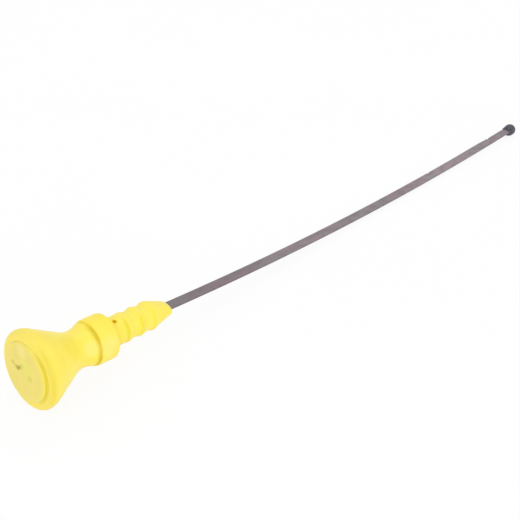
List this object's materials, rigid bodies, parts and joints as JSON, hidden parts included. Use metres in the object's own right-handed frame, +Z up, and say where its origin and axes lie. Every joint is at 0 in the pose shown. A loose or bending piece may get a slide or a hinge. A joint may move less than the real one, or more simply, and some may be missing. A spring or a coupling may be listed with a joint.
{
  "type": "engine oil dipstick",
  "caption": "Oil dipstick with a flared moulded handle, a stop collar, sealing ribs, a bowed flat steel blade with notched level marks and a round tip bead.",
  "frame": {"origin": "on the ground under the middle of the dipstick's box, as it comes to rest on its rim and its tip bead", "axes": "+X along the dipstick towards the tip bead, +Z up, +Y across the blade towards its notched edge"},
  "size_m": [0.3588, 0.035, 0.0349],
  "materials": {
    "yellow_plastic": "opaque yellow moulded plastic with a soft sheen",
    "yellow_cap": "the same yellow plastic, a little duller and soiled on the face",
    "blade_steel": "dull spring steel strip with faint mottled stains",
    "bead_plastic": "dark charcoal glossy plastic"
  },
  "bodies": {
    "root": {"handle": "yellow_plastic", "end_cap": "yellow_cap", "blade": "blade_steel", "tip_bead": "bead_plastic"}
  },
  "joints": []
}
